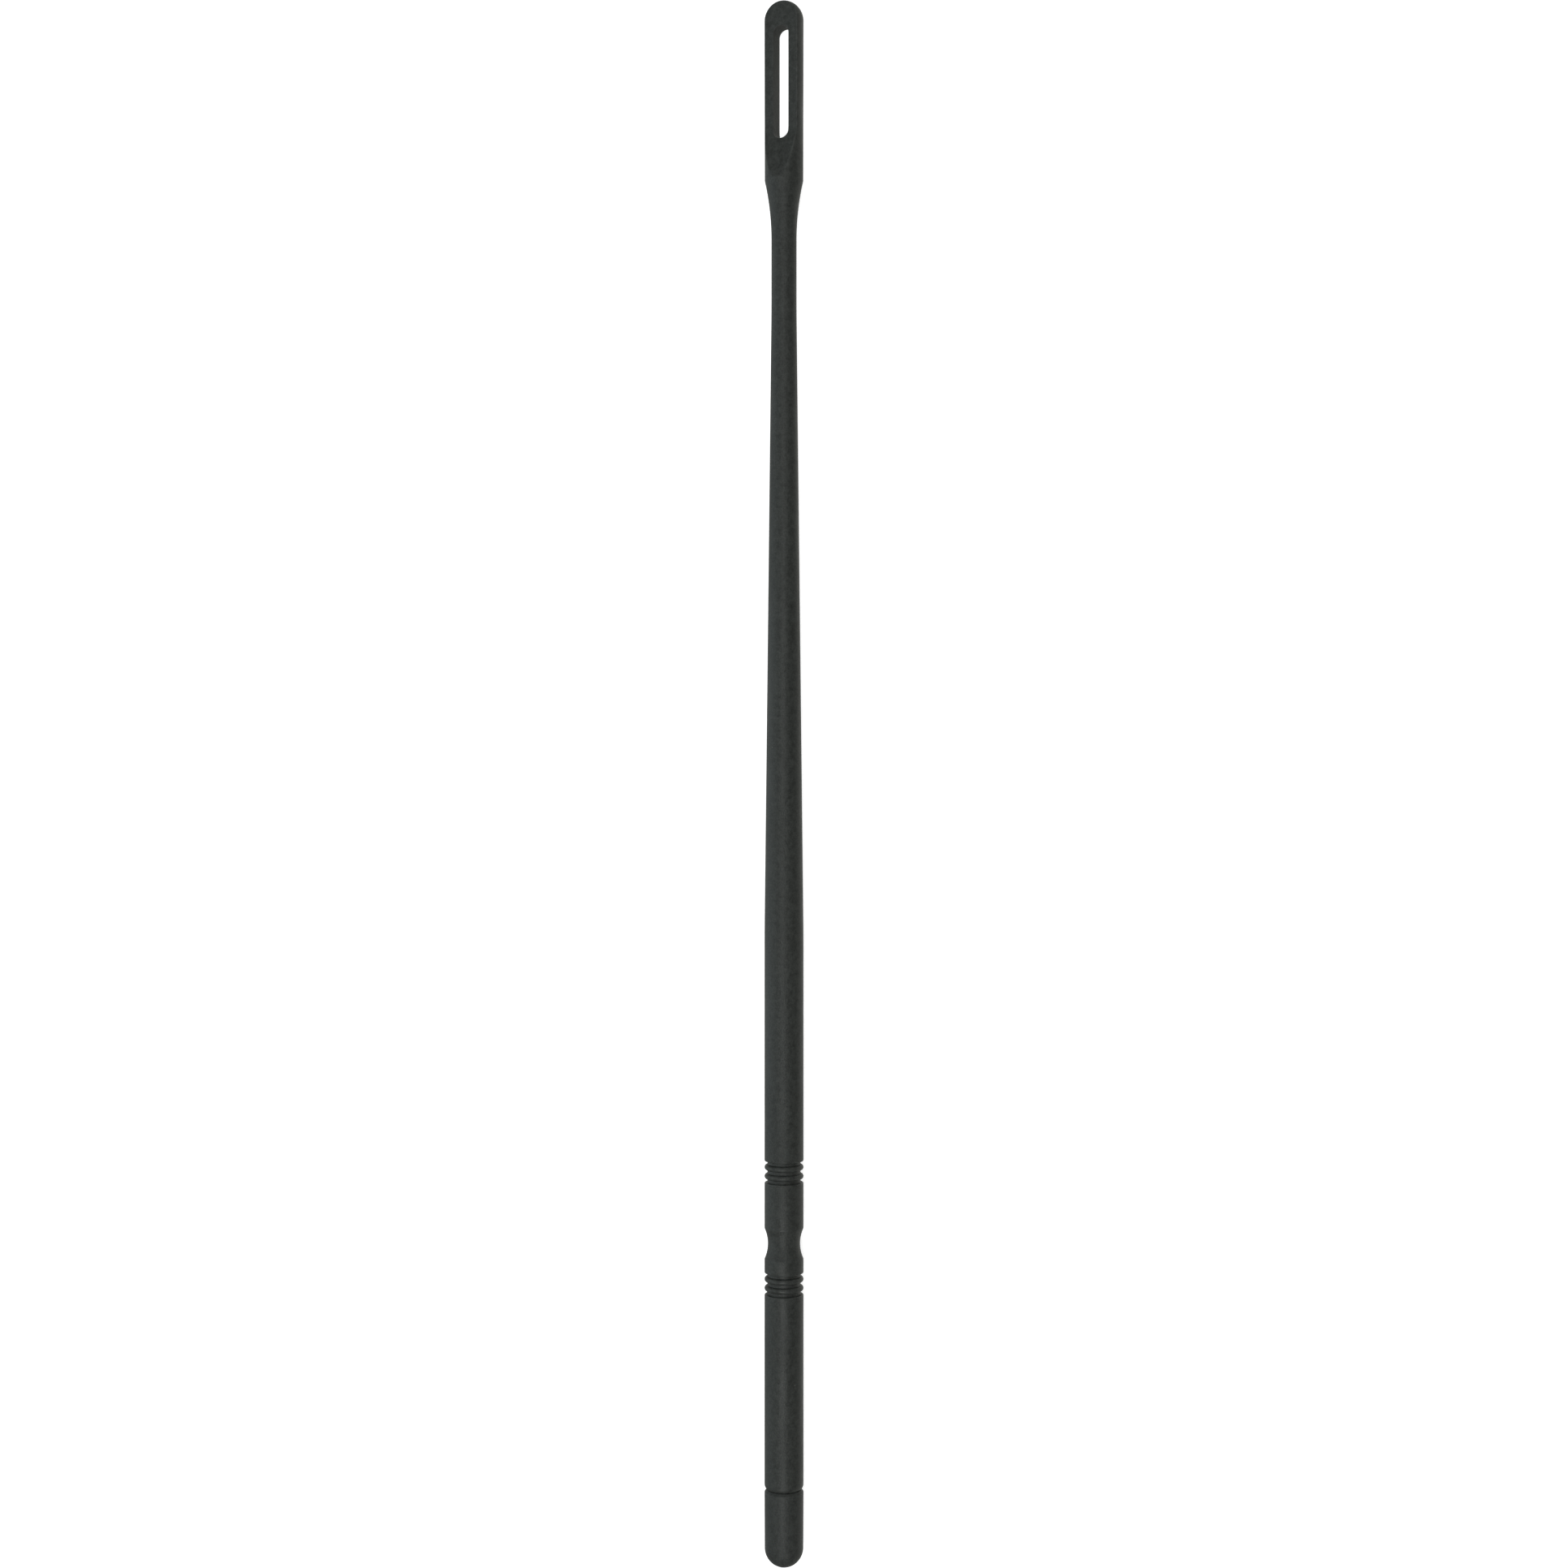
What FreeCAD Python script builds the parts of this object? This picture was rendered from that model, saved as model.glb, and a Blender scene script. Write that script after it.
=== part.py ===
import FreeCAD, Part

import math
import os

import Sketcher

# A flute cleaning rod in black plastic, lying on a surface.
#
# The rod's axis runs along X: the rounded gauge tip is at -X and the slotted eye at +X. Stations are
# distances along the axis from the tip's end. The two flats of the eye face up and down. The row's
# origin is half way along the rod, on the surface that it lies on. All sizes are in millimetres.
#
# The rod between the gauge tip and the eye's end is one moulding. It is built as two solids that meet
# face to face where the neck ends, the shank and the eye, so that the slot stays open in collision.

DIMENSIONS = [
    # Whole rod
    ("rod_length", 345.0, "tip end to eye end"),
    ("grip_dia", 8.6, "grip barrels, beads and eye"),
    # Gauge tip, and its joint with the rod
    ("joint_station", 17.3, "gauge distance from the tip end to the end of the rod"),
    ("dome_dia", 8.5, "sphere that rounds the tip's end"),
    ("joint_depth", 0.45, "joint groove, below the grip's surface"),
    ("rod_lip_length", 1.0, "joint groove, rounded edge on the rod's side"),
    ("tip_lip_length", 0.6, "joint groove, bevel on the tip's side"),
    ("gap_width", 0.15, "open joint line at the groove's root"),
    ("gap_depth", 0.25, "open joint line, below the groove's root"),
    ("spigot_dia", 4.0, "tip's spigot inside the shank"),
    ("spigot_length", 9.0, "tip's spigot inside the shank"),
    ("spigot_chamfer", 0.4, "lead-in on the spigot's end"),
    ("socket_clearance", 0.02, "spigot to socket, on the radius"),
    ("socket_bottom_gap", 1.0, "socket deeper than the spigot"),
    # Two groups of beads around the grip
    ("beads_station", 62.44, "middle of the group nearer the tip"),
    ("beads_spacing", 24.66, "middle to middle of the two groups"),
    ("bead_radius", 0.645, "half-round beads, and so the notch depth"),
    ("bead_floor", 0.69, "flat floor of each notch"),
    ("notch_edge_round", 0.25, "edge of the barrel beside the notches"),
    # Concave waist between the two groups
    ("waist_station", 71.27, "middle of the waist"),
    ("waist_half_length", 3.4, "middle to edge"),
    ("waist_depth", 0.74, "at the middle"),
    # Taper and neck
    ("taper_start", 139.9, "grip ends, taper begins"),
    ("taper_end", 276.8, "taper ends, neck begins"),
    ("neck_dia", 5.54, "thinnest part"),
    ("neck_end", 292.3, "neck begins to flare"),
    # Eye
    ("shoulder_station", 305.4, "flare meets the eye"),
    ("shoulder_dia", 8.47, "eye at the shoulder"),
    ("flat_start", 315.9, "ramps meet the flats"),
    ("flat_thickness", 3.5, "across the two flats"),
    ("slot_start", 314.4, "slot end nearer the tip"),
    ("slot_end", 339.3, "slot end nearer the eye's end"),
    ("slot_width", 3.6, "slot across the rod, with full-round ends"),
    ("slot_edge_break", 0.15, "small chamfer where the slot opens on each face"),
    # Sketches that cut reach this far outside the solid
    ("cut_margin", 1.0, "overrun of cutting outlines"),
]

# Formulas that several sketches share
GRIP_RADIUS = "Dimensions.grip_dia / 2"
DOME_RADIUS = "Dimensions.dome_dia / 2"
NECK_RADIUS = "Dimensions.neck_dia / 2"
SHOULDER_RADIUS = "Dimensions.shoulder_dia / 2"
SPIGOT_RADIUS = "Dimensions.spigot_dia / 2"
FLAT_HEIGHT = "Dimensions.flat_thickness / 2"
SLOT_RADIUS = "Dimensions.slot_width / 2"
GROOVE_RADIUS = f"{GRIP_RADIUS} - Dimensions.joint_depth"
NOTCH_RADIUS = f"{GRIP_RADIUS} - Dimensions.bead_radius"
CUT_RADIUS = f"{GRIP_RADIUS} + Dimensions.cut_margin"
JOINT = "Dimensions.joint_station"
LENGTH = "Dimensions.rod_length"

TURNS_LEFT = "left"
TURNS_RIGHT = "right"


def make_sheet(doc):
    """The spreadsheet of driving dimensions: alias, value and meaning, one row each."""
    sheet = doc.addObject("Spreadsheet::Sheet", "Dimensions")
    for row, (alias, value, meaning) in enumerate(DIMENSIONS, start=1):
        sheet.set(f"A{row}", alias)
        sheet.set(f"B{row}", str(value))
        sheet.set(f"C{row}", meaning)
        sheet.setAlias(f"B{row}", alias)
    doc.recompute()
    return sheet


def origin_feature(body, role):
    """One of a body's own origin planes or axes, such as XZ_Plane."""
    for feature in body.Origin.OriginFeatures:
        if feature.Role == role:
            return feature
    raise ValueError(f"{body.Name} has no {role}")


def arc_between(start, end, radius, turn):
    """The circular arc from start to end, no more than half a turn, drawn counterclockwise."""
    if turn == TURNS_RIGHT:
        start, end = end, start
    chord = end - start
    to_centre = FreeCAD.Vector(-chord.y, chord.x, 0).normalize()
    rise = math.sqrt(max(radius**2 - (chord.Length / 2) ** 2, 0.0))
    centre = (start + end) * 0.5 + to_centre * rise
    first = math.atan2(start.y - centre.y, start.x - centre.x)
    last = math.atan2(end.y - centre.y, end.x - centre.x)
    if last <= first:
        last += 2 * math.pi
    circle = Part.Circle(centre, FreeCAD.Vector(0, 0, 1), radius)
    return Part.ArcOfCircle(circle, first, last)


def add_dimension(sketch, constraint, expression):
    """Adds a dimensional constraint and binds it to the sheet."""
    index = sketch.addConstraint(constraint)
    sketch.setExpression(f"Constraints[{index}]", expression)


def closed_outline(body, name, role, corners):
    """A sketch on an origin plane: a closed outline through corners.

    Each corner is (x, y) for a straight edge to the next corner, or (x, y, radius, turn) for an arc to
    it. The sizes are expressions on the sheet, and they fix every corner.
    """
    sketch = body.newObject("Sketcher::SketchObject", name)
    sketch.AttachmentSupport = [(origin_feature(body, role), "")]
    sketch.MapMode = "FlatFace"
    points = []
    for corner in corners:
        x = sketch.evalExpression(corner[0])
        y = sketch.evalExpression(corner[1])
        points.append(FreeCAD.Vector(float(x), float(y), 0))

    # Each edge's first and last points, as the sketcher numbers them: an arc that turns right is
    # stored the other way round.
    firsts = []
    lasts = []
    radii = []
    for index, corner in enumerate(corners):
        start = points[index]
        end = points[(index + 1) % len(points)]
        if len(corner) == 2:
            edge = sketch.addGeometry(Part.LineSegment(start, end), False)
            firsts.append((edge, 1))
            lasts.append((edge, 2))
            continue
        radius, turn = corner[2:]
        arc = arc_between(start, end, float(sketch.evalExpression(radius)), turn)
        edge = sketch.addGeometry(arc, False)
        radii.append((edge, arc.Radius, radius))
        firsts.append((edge, 1 if turn == TURNS_LEFT else 2))
        lasts.append((edge, 2 if turn == TURNS_LEFT else 1))

    for index in range(len(corners)):
        before = lasts[index - 1]
        after = firsts[index]
        sketch.addConstraint(Sketcher.Constraint("Coincident", *before, *after))
    for corner, point, first in zip(corners, points, firsts):
        across = Sketcher.Constraint("DistanceX", -1, 1, *first, point.x)
        upward = Sketcher.Constraint("DistanceY", -1, 1, *first, point.y)
        add_dimension(sketch, across, corner[0])
        add_dimension(sketch, upward, corner[1])
    for edge, value, radius in radii:
        add_dimension(sketch, Sketcher.Constraint("Radius", edge, value), radius)
    return sketch


def turned(body, name, kind, sketch):
    """A full turn of a sketch about the rod's axis: a Revolution or a Groove."""
    feature = body.newObject(f"PartDesign::{kind}", name)
    feature.Profile = (sketch, [""])
    feature.ReferenceAxis = (sketch, ["H_Axis"])
    feature.Angle = 360.0
    return feature


def cut_through(body, name, sketch):
    """A pocket through the whole rod, to both sides of its sketch."""
    pocket = body.newObject("PartDesign::Pocket", name)
    pocket.Profile = (sketch, [""])
    pocket.Type = "ThroughAll"
    pocket.Midplane = True
    return pocket


def place_on_surface(body):
    """Puts the middle of the rod's length at X = 0 and its underside at Z = 0."""
    body.setExpression(".Placement.Base.x", f"-({LENGTH}) / 2")
    body.setExpression(".Placement.Base.z", GRIP_RADIUS)


# ------------------------------------------------------------------------------ shank


def shank_outline():
    """Half of the shank's section: joint face, rounded lip, grip, taper and neck."""
    lip = "Dimensions.rod_lip_length"
    depth = "Dimensions.joint_depth"
    lip_radius = f"({lip}^2 + {depth}^2) / (2 * {depth})"
    return [
        (JOINT, "0"),
        (JOINT, GROOVE_RADIUS, lip_radius, TURNS_RIGHT),
        (f"{JOINT} + {lip}", GRIP_RADIUS),
        ("Dimensions.taper_start", GRIP_RADIUS),
        ("Dimensions.taper_end", NECK_RADIUS),
        ("Dimensions.neck_end", NECK_RADIUS),
        ("Dimensions.neck_end", "0"),
    ]


def socket_outline():
    """Half of the blind hole that takes the tip's spigot."""
    wall = f"{SPIGOT_RADIUS} + Dimensions.socket_clearance"
    bottom = f"{JOINT} + Dimensions.spigot_length + Dimensions.socket_bottom_gap"
    mouth = f"{JOINT} - Dimensions.cut_margin"
    return [(mouth, "0"), (bottom, "0"), (bottom, wall), (mouth, wall)]


def waist_outline():
    """The shallow circular hollow around the grip, as a bow and its chord."""
    half = "Dimensions.waist_half_length"
    depth = "Dimensions.waist_depth"
    radius = f"({half}^2 + {depth}^2) / (2 * {depth})"
    start = f"Dimensions.waist_station - {half}"
    end = f"Dimensions.waist_station + {half}"
    return [
        (start, GRIP_RADIUS, radius, TURNS_LEFT),
        (end, GRIP_RADIUS),
        (end, CUT_RADIUS),
        (start, CUT_RADIUS),
    ]


def beads_outline():
    """What is cut away around one group: three notches, with a half-round bead between each two."""
    floor = "Dimensions.bead_floor"
    bead = "Dimensions.bead_radius"
    edge = "Dimensions.notch_edge_round"
    edge_radius = f"{GRIP_RADIUS} - {edge}"
    middle = "Dimensions.beads_station"
    wall = f"(1.5 * {floor} + 2 * {bead})"
    corners = [
        (f"{middle} - {wall} - {edge}", CUT_RADIUS),
        (f"{middle} - {wall} - {edge}", GRIP_RADIUS, edge, TURNS_RIGHT),
        (f"{middle} - {wall}", edge_radius),
        (f"{middle} - {wall}", NOTCH_RADIUS),
    ]
    for side in ("-", "+"):
        crown = f"{middle} {side} (0.5 * {floor} + {bead})"
        corners += [
            (f"{crown} - {bead}", NOTCH_RADIUS, bead, TURNS_RIGHT),
            (crown, GRIP_RADIUS, bead, TURNS_RIGHT),
            (f"{crown} + {bead}", NOTCH_RADIUS),
        ]
    corners += [
        (f"{middle} + {wall}", NOTCH_RADIUS),
        (f"{middle} + {wall}", edge_radius, edge, TURNS_RIGHT),
        (f"{middle} + {wall} + {edge}", GRIP_RADIUS),
        (f"{middle} + {wall} + {edge}", CUT_RADIUS),
    ]
    return corners


def make_shank(doc):
    """The round part of the moulding: beaded and waisted grip, taper and neck."""
    body = doc.addObject("PartDesign::Body", "shank")
    place_on_surface(body)
    section = closed_outline(body, "shank_sketch", "XZ_Plane", shank_outline())
    turned(body, "round_rod", "Revolution", section)
    socket = closed_outline(body, "socket_sketch", "XZ_Plane", socket_outline())
    turned(body, "socket", "Groove", socket)
    waist = closed_outline(body, "waist_sketch", "XZ_Plane", waist_outline())
    turned(body, "waist", "Groove", waist)
    beads = closed_outline(body, "beads_sketch", "XZ_Plane", beads_outline())
    first_group = turned(body, "beads", "Groove", beads)
    groups = body.newObject("PartDesign::LinearPattern", "bead_groups")
    groups.Originals = [first_group]
    groups.Direction = (origin_feature(body, "X_Axis"), [""])
    groups.Mode = "Spacing"
    groups.Occurrences = 2
    groups.setExpression("Offset", "Dimensions.beads_spacing")
    body.Tip = groups
    return body


# ------------------------------------------------------------------------------ eye


def eye_outline():
    """Half of the eye's section before it is flattened: flare, shoulder, barrel and rounded end."""
    flare_length = "(Dimensions.shoulder_station - Dimensions.neck_end)"
    flare_rise = f"({SHOULDER_RADIUS} - {NECK_RADIUS})"
    flare_radius = f"({flare_length}^2 + {flare_rise}^2) / (2 * {flare_rise})"
    return [
        ("Dimensions.neck_end", "0"),
        ("Dimensions.neck_end", NECK_RADIUS, flare_radius, TURNS_LEFT),
        ("Dimensions.shoulder_station", SHOULDER_RADIUS),
        (f"{LENGTH} - {GRIP_RADIUS}", GRIP_RADIUS, GRIP_RADIUS, TURNS_RIGHT),
        (LENGTH, "0"),
    ]


def flat_outline():
    """The side view of what is cut away above the eye: the ramp from the shoulder, then the flat."""
    ramp_length = "(Dimensions.flat_start - Dimensions.shoulder_station)"
    ramp_rise = f"({SHOULDER_RADIUS} - {FLAT_HEIGHT})"
    cut_rise = f"({CUT_RADIUS} - {FLAT_HEIGHT})"
    ramp_top = f"Dimensions.flat_start - {ramp_length} * {cut_rise} / {ramp_rise}"
    beyond = f"{LENGTH} + Dimensions.cut_margin"
    return [
        ("Dimensions.flat_start", FLAT_HEIGHT),
        (beyond, FLAT_HEIGHT),
        (beyond, CUT_RADIUS),
        (ramp_top, CUT_RADIUS),
    ]


def slot_outline():
    """The slot seen from above, with each full-round end drawn as two quarter circles."""
    near = "Dimensions.slot_start"
    far = "Dimensions.slot_end"
    below = f"-({SLOT_RADIUS})"
    return [
        (near, "0", SLOT_RADIUS, TURNS_LEFT),
        (f"{near} + {SLOT_RADIUS}", below),
        (f"{far} - {SLOT_RADIUS}", below, SLOT_RADIUS, TURNS_LEFT),
        (far, "0", SLOT_RADIUS, TURNS_LEFT),
        (f"{far} - {SLOT_RADIUS}", SLOT_RADIUS),
        (f"{near} + {SLOT_RADIUS}", SLOT_RADIUS, SLOT_RADIUS, TURNS_LEFT),
    ]


def slot_edge_names(solid, sheet):
    """The edges where the slot opens on the eye's two faces, flats and ramps alike."""
    half_width = sheet.slot_width / 2
    height = sheet.flat_thickness / 2
    slack = 1e-3
    names = []
    for number, edge in enumerate(solid.Edges, start=1):
        box = edge.BoundBox
        along = box.XMin > sheet.slot_start - slack and box.XMax < sheet.slot_end + slack
        across = box.YMin > -half_width - slack and box.YMax < half_width + slack
        on_a_face = box.ZMin > height - slack or box.ZMax < -height + slack
        if along and across and on_a_face:
            names.append(f"Edge{number}")
    return names


def make_eye(doc, sheet):
    """The flattened and slotted end of the moulding, with the flare that joins it to the neck."""
    body = doc.addObject("PartDesign::Body", "eye")
    place_on_surface(body)
    section = closed_outline(body, "eye_sketch", "XZ_Plane", eye_outline())
    turned(body, "round_eye", "Revolution", section)

    flat = closed_outline(body, "flat_sketch", "XZ_Plane", flat_outline())
    upper_flat = cut_through(body, "upper_flat", flat)
    both_flats = body.newObject("PartDesign::Mirrored", "both_flats")
    both_flats.Originals = [upper_flat]
    both_flats.MirrorPlane = (origin_feature(body, "XY_Plane"), [""])
    body.Tip = both_flats

    slot = closed_outline(body, "slot_sketch", "XY_Plane", slot_outline())
    slot_cut = cut_through(body, "slot", slot)
    doc.recompute()
    broken = body.newObject("PartDesign::Chamfer", "slot_edges")
    broken.Base = (slot_cut, slot_edge_names(slot_cut.Shape, sheet))
    broken.setExpression("Size", "Dimensions.slot_edge_break")
    body.Tip = broken
    return body


# ------------------------------------------------------------------------------ gauge_tip


def tip_outline():
    """Half of the tip's section: rounded end, drafted side, bevelled lip, joint line and spigot."""
    gap_start = f"{JOINT} - Dimensions.gap_width"
    gap_floor = f"{GROOVE_RADIUS} - Dimensions.gap_depth"
    spigot_end = f"{JOINT} + Dimensions.spigot_length"
    chamfer = "Dimensions.spigot_chamfer"
    return [
        ("0", "0", DOME_RADIUS, TURNS_RIGHT),
        (DOME_RADIUS, DOME_RADIUS),
        (f"{gap_start} - Dimensions.tip_lip_length", GRIP_RADIUS),
        (gap_start, GROOVE_RADIUS),
        (gap_start, gap_floor),
        (JOINT, gap_floor),
        (JOINT, SPIGOT_RADIUS),
        (f"{spigot_end} - {chamfer}", SPIGOT_RADIUS),
        (spigot_end, f"{SPIGOT_RADIUS} - {chamfer}"),
        (spigot_end, "0"),
    ]


def make_gauge_tip(doc):
    """The rounded end piece, whose spigot is bonded into the shank's socket."""
    body = doc.addObject("PartDesign::Body", "gauge_tip")
    place_on_surface(body)
    outline = closed_outline(body, "tip_sketch", "XZ_Plane", tip_outline())
    turned(body, "tip", "Revolution", outline)
    return body


# ------------------------------------------------------------------------------ checking and writing


def check_states(doc):
    """Stops at any object that did not recompute."""
    for item in doc.Objects:
        bad = {"Invalid", "Error"} & set(item.State)
        if bad:
            raise RuntimeError(f"{item.Name} is {', '.join(sorted(bad))}")


def check_cuts(body):
    """Stops at any feature of a body that changed nothing."""
    volume = 0.0
    for feature in body.Group:
        if feature.isDerivedFrom("PartDesign::Feature"):
            if abs(feature.Shape.Volume - volume) < 1e-3:
                raise RuntimeError(f"{body.Name}: {feature.Name} changed nothing")
            volume = feature.Shape.Volume


def write_parts(bodies):
    """Writes each sub-part's solid to parts/, under its label."""
    os.makedirs("parts", exist_ok=True)
    for body in bodies:
        shape = body.Shape
        if shape.isNull() or not shape.isValid() or len(shape.Solids) != 1:
            raise RuntimeError(f"{body.Label} is not one valid solid")
        shape.exportStep(f"parts/{body.Label}.step")
        print(f"{body.Label}: {shape.Volume:.1f} mm3")


def main():
    doc = FreeCAD.newDocument("flute_cleaning_rod")
    sheet = make_sheet(doc)
    bodies = [make_gauge_tip(doc), make_shank(doc), make_eye(doc, sheet)]
    doc.recompute()
    check_states(doc)
    for body in bodies:
        check_cuts(body)
    write_parts(bodies)


main()
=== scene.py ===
import math

import bpy
import numpy as np
from mathutils import Matrix, Vector


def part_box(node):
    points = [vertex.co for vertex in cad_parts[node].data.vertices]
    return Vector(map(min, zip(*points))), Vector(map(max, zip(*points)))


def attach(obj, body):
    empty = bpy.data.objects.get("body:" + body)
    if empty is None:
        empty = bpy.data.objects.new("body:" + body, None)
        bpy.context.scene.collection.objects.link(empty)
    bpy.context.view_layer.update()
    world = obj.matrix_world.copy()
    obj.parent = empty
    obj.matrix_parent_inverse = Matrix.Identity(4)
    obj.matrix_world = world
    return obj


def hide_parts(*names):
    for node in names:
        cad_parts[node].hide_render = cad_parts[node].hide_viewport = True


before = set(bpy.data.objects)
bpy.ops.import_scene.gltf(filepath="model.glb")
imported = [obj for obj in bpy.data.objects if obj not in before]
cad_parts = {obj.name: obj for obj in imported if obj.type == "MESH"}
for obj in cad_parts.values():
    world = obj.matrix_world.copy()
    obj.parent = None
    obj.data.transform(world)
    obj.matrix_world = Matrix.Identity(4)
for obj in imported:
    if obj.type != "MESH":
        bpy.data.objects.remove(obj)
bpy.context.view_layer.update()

# A flute cleaning rod in matte black plastic. Lengths below are in millimetres and angles in degrees.
# Stations are distances along the rod's axis from the gauge tip's end, which is the end at -X.
MM = 0.001

# ------------------------------------------------------------------------------ sizes

TIP_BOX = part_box("gauge_tip")
SHANK_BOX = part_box("shank")
EYE_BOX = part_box("eye")

AXIS_HEIGHT = (SHANK_BOX[0].z + SHANK_BOX[1].z) / 2
TIP_END = TIP_BOX[0].x


def station(x):
    """The station, in millimetres, of a place along the row's X axis, in metres."""
    return (x - TIP_END) / MM


JOINT = station(SHANK_BOX[0].x)
NECK_END = station(EYE_BOX[0].x)
EYE_END = station(EYE_BOX[1].x)
GRIP_RADIUS = (SHANK_BOX[1].z - SHANK_BOX[0].z) / 2 / MM

# Gauge tip, and its joint with the rod
DOME_RADIUS = 4.25
JOINT_DEPTH = 0.45
ROD_LIP = 1.0
TIP_LIP = 0.6
GAP_WIDTH = 0.15
GAP_DEPTH = 0.25
SPIGOT_RADIUS = 2.0
SPIGOT_LENGTH = 9.0
SPIGOT_CHAMFER = 0.4
SOCKET_CLEARANCE = 0.02
SOCKET_RADIUS = SPIGOT_RADIUS + SOCKET_CLEARANCE
SOCKET_BOTTOM_GAP = 1.0
SOCKET_BOTTOM = JOINT + SPIGOT_LENGTH + SOCKET_BOTTOM_GAP

# Beads and waist of the grip
BEAD_GROUPS = (62.44, 87.10)
BEAD_RADIUS = 0.645
NOTCH_FLOOR = 0.69
NOTCH_EDGE = 0.25
WAIST = 71.27
WAIST_HALF_LENGTH = 3.4
WAIST_DEPTH = 0.74

# Taper, neck and eye
TAPER_START = 139.9
TAPER_END = 276.8
NECK_RADIUS = 2.77
SHOULDER = 305.4
SHOULDER_RADIUS = 4.235
FLAT_START = 315.9
FLAT_HEIGHT = 1.75
RAMP_SLOPE = (SHOULDER_RADIUS - FLAT_HEIGHT) / (FLAT_START - SHOULDER)
RAMP_BLEND = 1.6
RAMP_END = SHOULDER - 2.0
FLAT_EDGE = 0.18
SLOT_START = 314.4
SLOT_END = 339.3
SLOT_RADIUS = 1.8
SLOT_EDGE = 0.1

# How far corners are rounded back along their sides
BEAD_SOFTNESS = 0.07
WAIST_SOFTNESS = 0.22
TAPER_SOFTNESS = 3.0
SHOULDER_SOFTNESS = 0.25
LIP_SOFTNESS = 0.08
GROOVE_SOFTNESS = 0.03
HIDDEN_SOFTNESS = 0.05

# Fineness of the meshes: columns run along the rod and rows run round it
STRIP_COLUMNS = 12
CORNER_COLUMNS = 4
SIDE_COLUMNS = 12
QUARTER_COLUMNS = STRIP_COLUMNS + CORNER_COLUMNS + SIDE_COLUMNS
LONG_STEP = 1.5
SHORT_STEP = 0.45
FINE_STEP = 0.12
CORNER_STEPS = 4
SLOT_END_ROWS = 14

# How the wear of a surface is told: handling rubs the edges, and nothing reaches the slot's wall
RUBBED = 1.0
PLAIN = 0.0
SHELTERED = -1.0

# The parting line that the mould leaves along both sides: a hair-fine ridge in a scraped band
SEAM_BAND = math.radians(2.7)
SEAM_TROUGH = math.radians(1.0)
SEAM_DEPTH = 0.012

# ------------------------------------------------------------------------------ outlines


class Line:
    """A straight run of an outline, from start to end."""

    def __init__(self, start, end, step):
        self.start = np.array(start, float)
        self.end = np.array(end, float)
        self.length = float(np.linalg.norm(self.end - self.start))
        self.step = step

    def at(self, distance):
        return self.start + (self.end - self.start) * (distance / self.length)


class Arc:
    """A circular run of an outline, given by its centre and the angles of its two ends."""

    def __init__(self, centre, radius, first, last, step):
        self.centre = np.array(centre, float)
        self.radius = radius
        self.first = math.radians(first)
        self.turn = math.radians(last - first)
        self.length = radius * abs(self.turn)
        self.step = step

    def at(self, distance):
        angle = self.first + self.turn * distance / self.length
        return self.centre + self.radius * np.array([math.cos(angle), math.sin(angle)])


def trace(runs):
    """Points along runs, each given as (run, softness): softness rounds the corner at its end."""
    points = []
    trimmed = 0.0
    for index, (run, softness) in enumerate(runs):
        reach = run.length - softness
        count = max(1, math.ceil((reach - trimmed) / run.step))
        samples = [trimmed + (reach - trimmed) * i / count for i in range(count + 1)]
        if points and trimmed == 0.0:
            samples = samples[1:]
        points += [run.at(distance) for distance in samples]
        if softness > 0.0:
            corner = run.at(run.length)
            start = points[-1]
            end = runs[index + 1][0].at(softness)
            for i in range(1, CORNER_STEPS):
                t = i / CORNER_STEPS
                points.append((1 - t) ** 2 * start + 2 * t * (1 - t) * corner + t**2 * end)
        trimmed = softness
    return points


def bead_runs(middle):
    """One group's outline: notch, bead, notch, bead, notch. Also returns where it starts and ends."""
    floor = GRIP_RADIUS - BEAD_RADIUS
    wall = 1.5 * NOTCH_FLOOR + 2 * BEAD_RADIUS
    edge = GRIP_RADIUS - NOTCH_EDGE
    left = middle - wall
    runs = [
        (Arc((left - NOTCH_EDGE, edge), NOTCH_EDGE, 90, 0, FINE_STEP / 2), 0.0),
        (Line((left, edge), (left, floor), FINE_STEP), BEAD_SOFTNESS),
    ]
    for _ in range(2):
        bead = left + NOTCH_FLOOR
        runs += [
            (Line((left, floor), (bead, floor), FINE_STEP * 2), BEAD_SOFTNESS),
            (Arc((bead + BEAD_RADIUS, floor), BEAD_RADIUS, 180, 0, FINE_STEP), BEAD_SOFTNESS),
        ]
        left = bead + 2 * BEAD_RADIUS
    right = left + NOTCH_FLOOR
    runs += [
        (Line((left, floor), (right, floor), FINE_STEP * 2), BEAD_SOFTNESS),
        (Line((right, floor), (right, edge), FINE_STEP), 0.0),
        (Arc((right + NOTCH_EDGE, edge), NOTCH_EDGE, 180, 90, FINE_STEP / 2), 0.0),
    ]
    return runs, middle - wall - NOTCH_EDGE, middle + wall + NOTCH_EDGE


def waist_bow(start, end):
    """The shallow hollow of the waist, a bow under the line from start to end."""
    radius = (WAIST_HALF_LENGTH**2 + WAIST_DEPTH**2) / (2 * WAIST_DEPTH)
    spread = math.degrees(math.asin(WAIST_HALF_LENGTH / radius))
    centre = ((start[0] + end[0]) / 2, GRIP_RADIUS - WAIST_DEPTH + radius)
    return Arc(centre, radius, 270 - spread, 270 + spread, SHORT_STEP / 2)


def rod_lip():
    """The rounded edge of the rod's end, from the joint groove's root up to the grip."""
    radius = (ROD_LIP**2 + JOINT_DEPTH**2) / (2 * JOINT_DEPTH)
    spread = math.degrees(math.asin(ROD_LIP / radius))
    return Arc((JOINT + ROD_LIP, GRIP_RADIUS - radius), radius, 90 + spread, 90, FINE_STEP)


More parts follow.
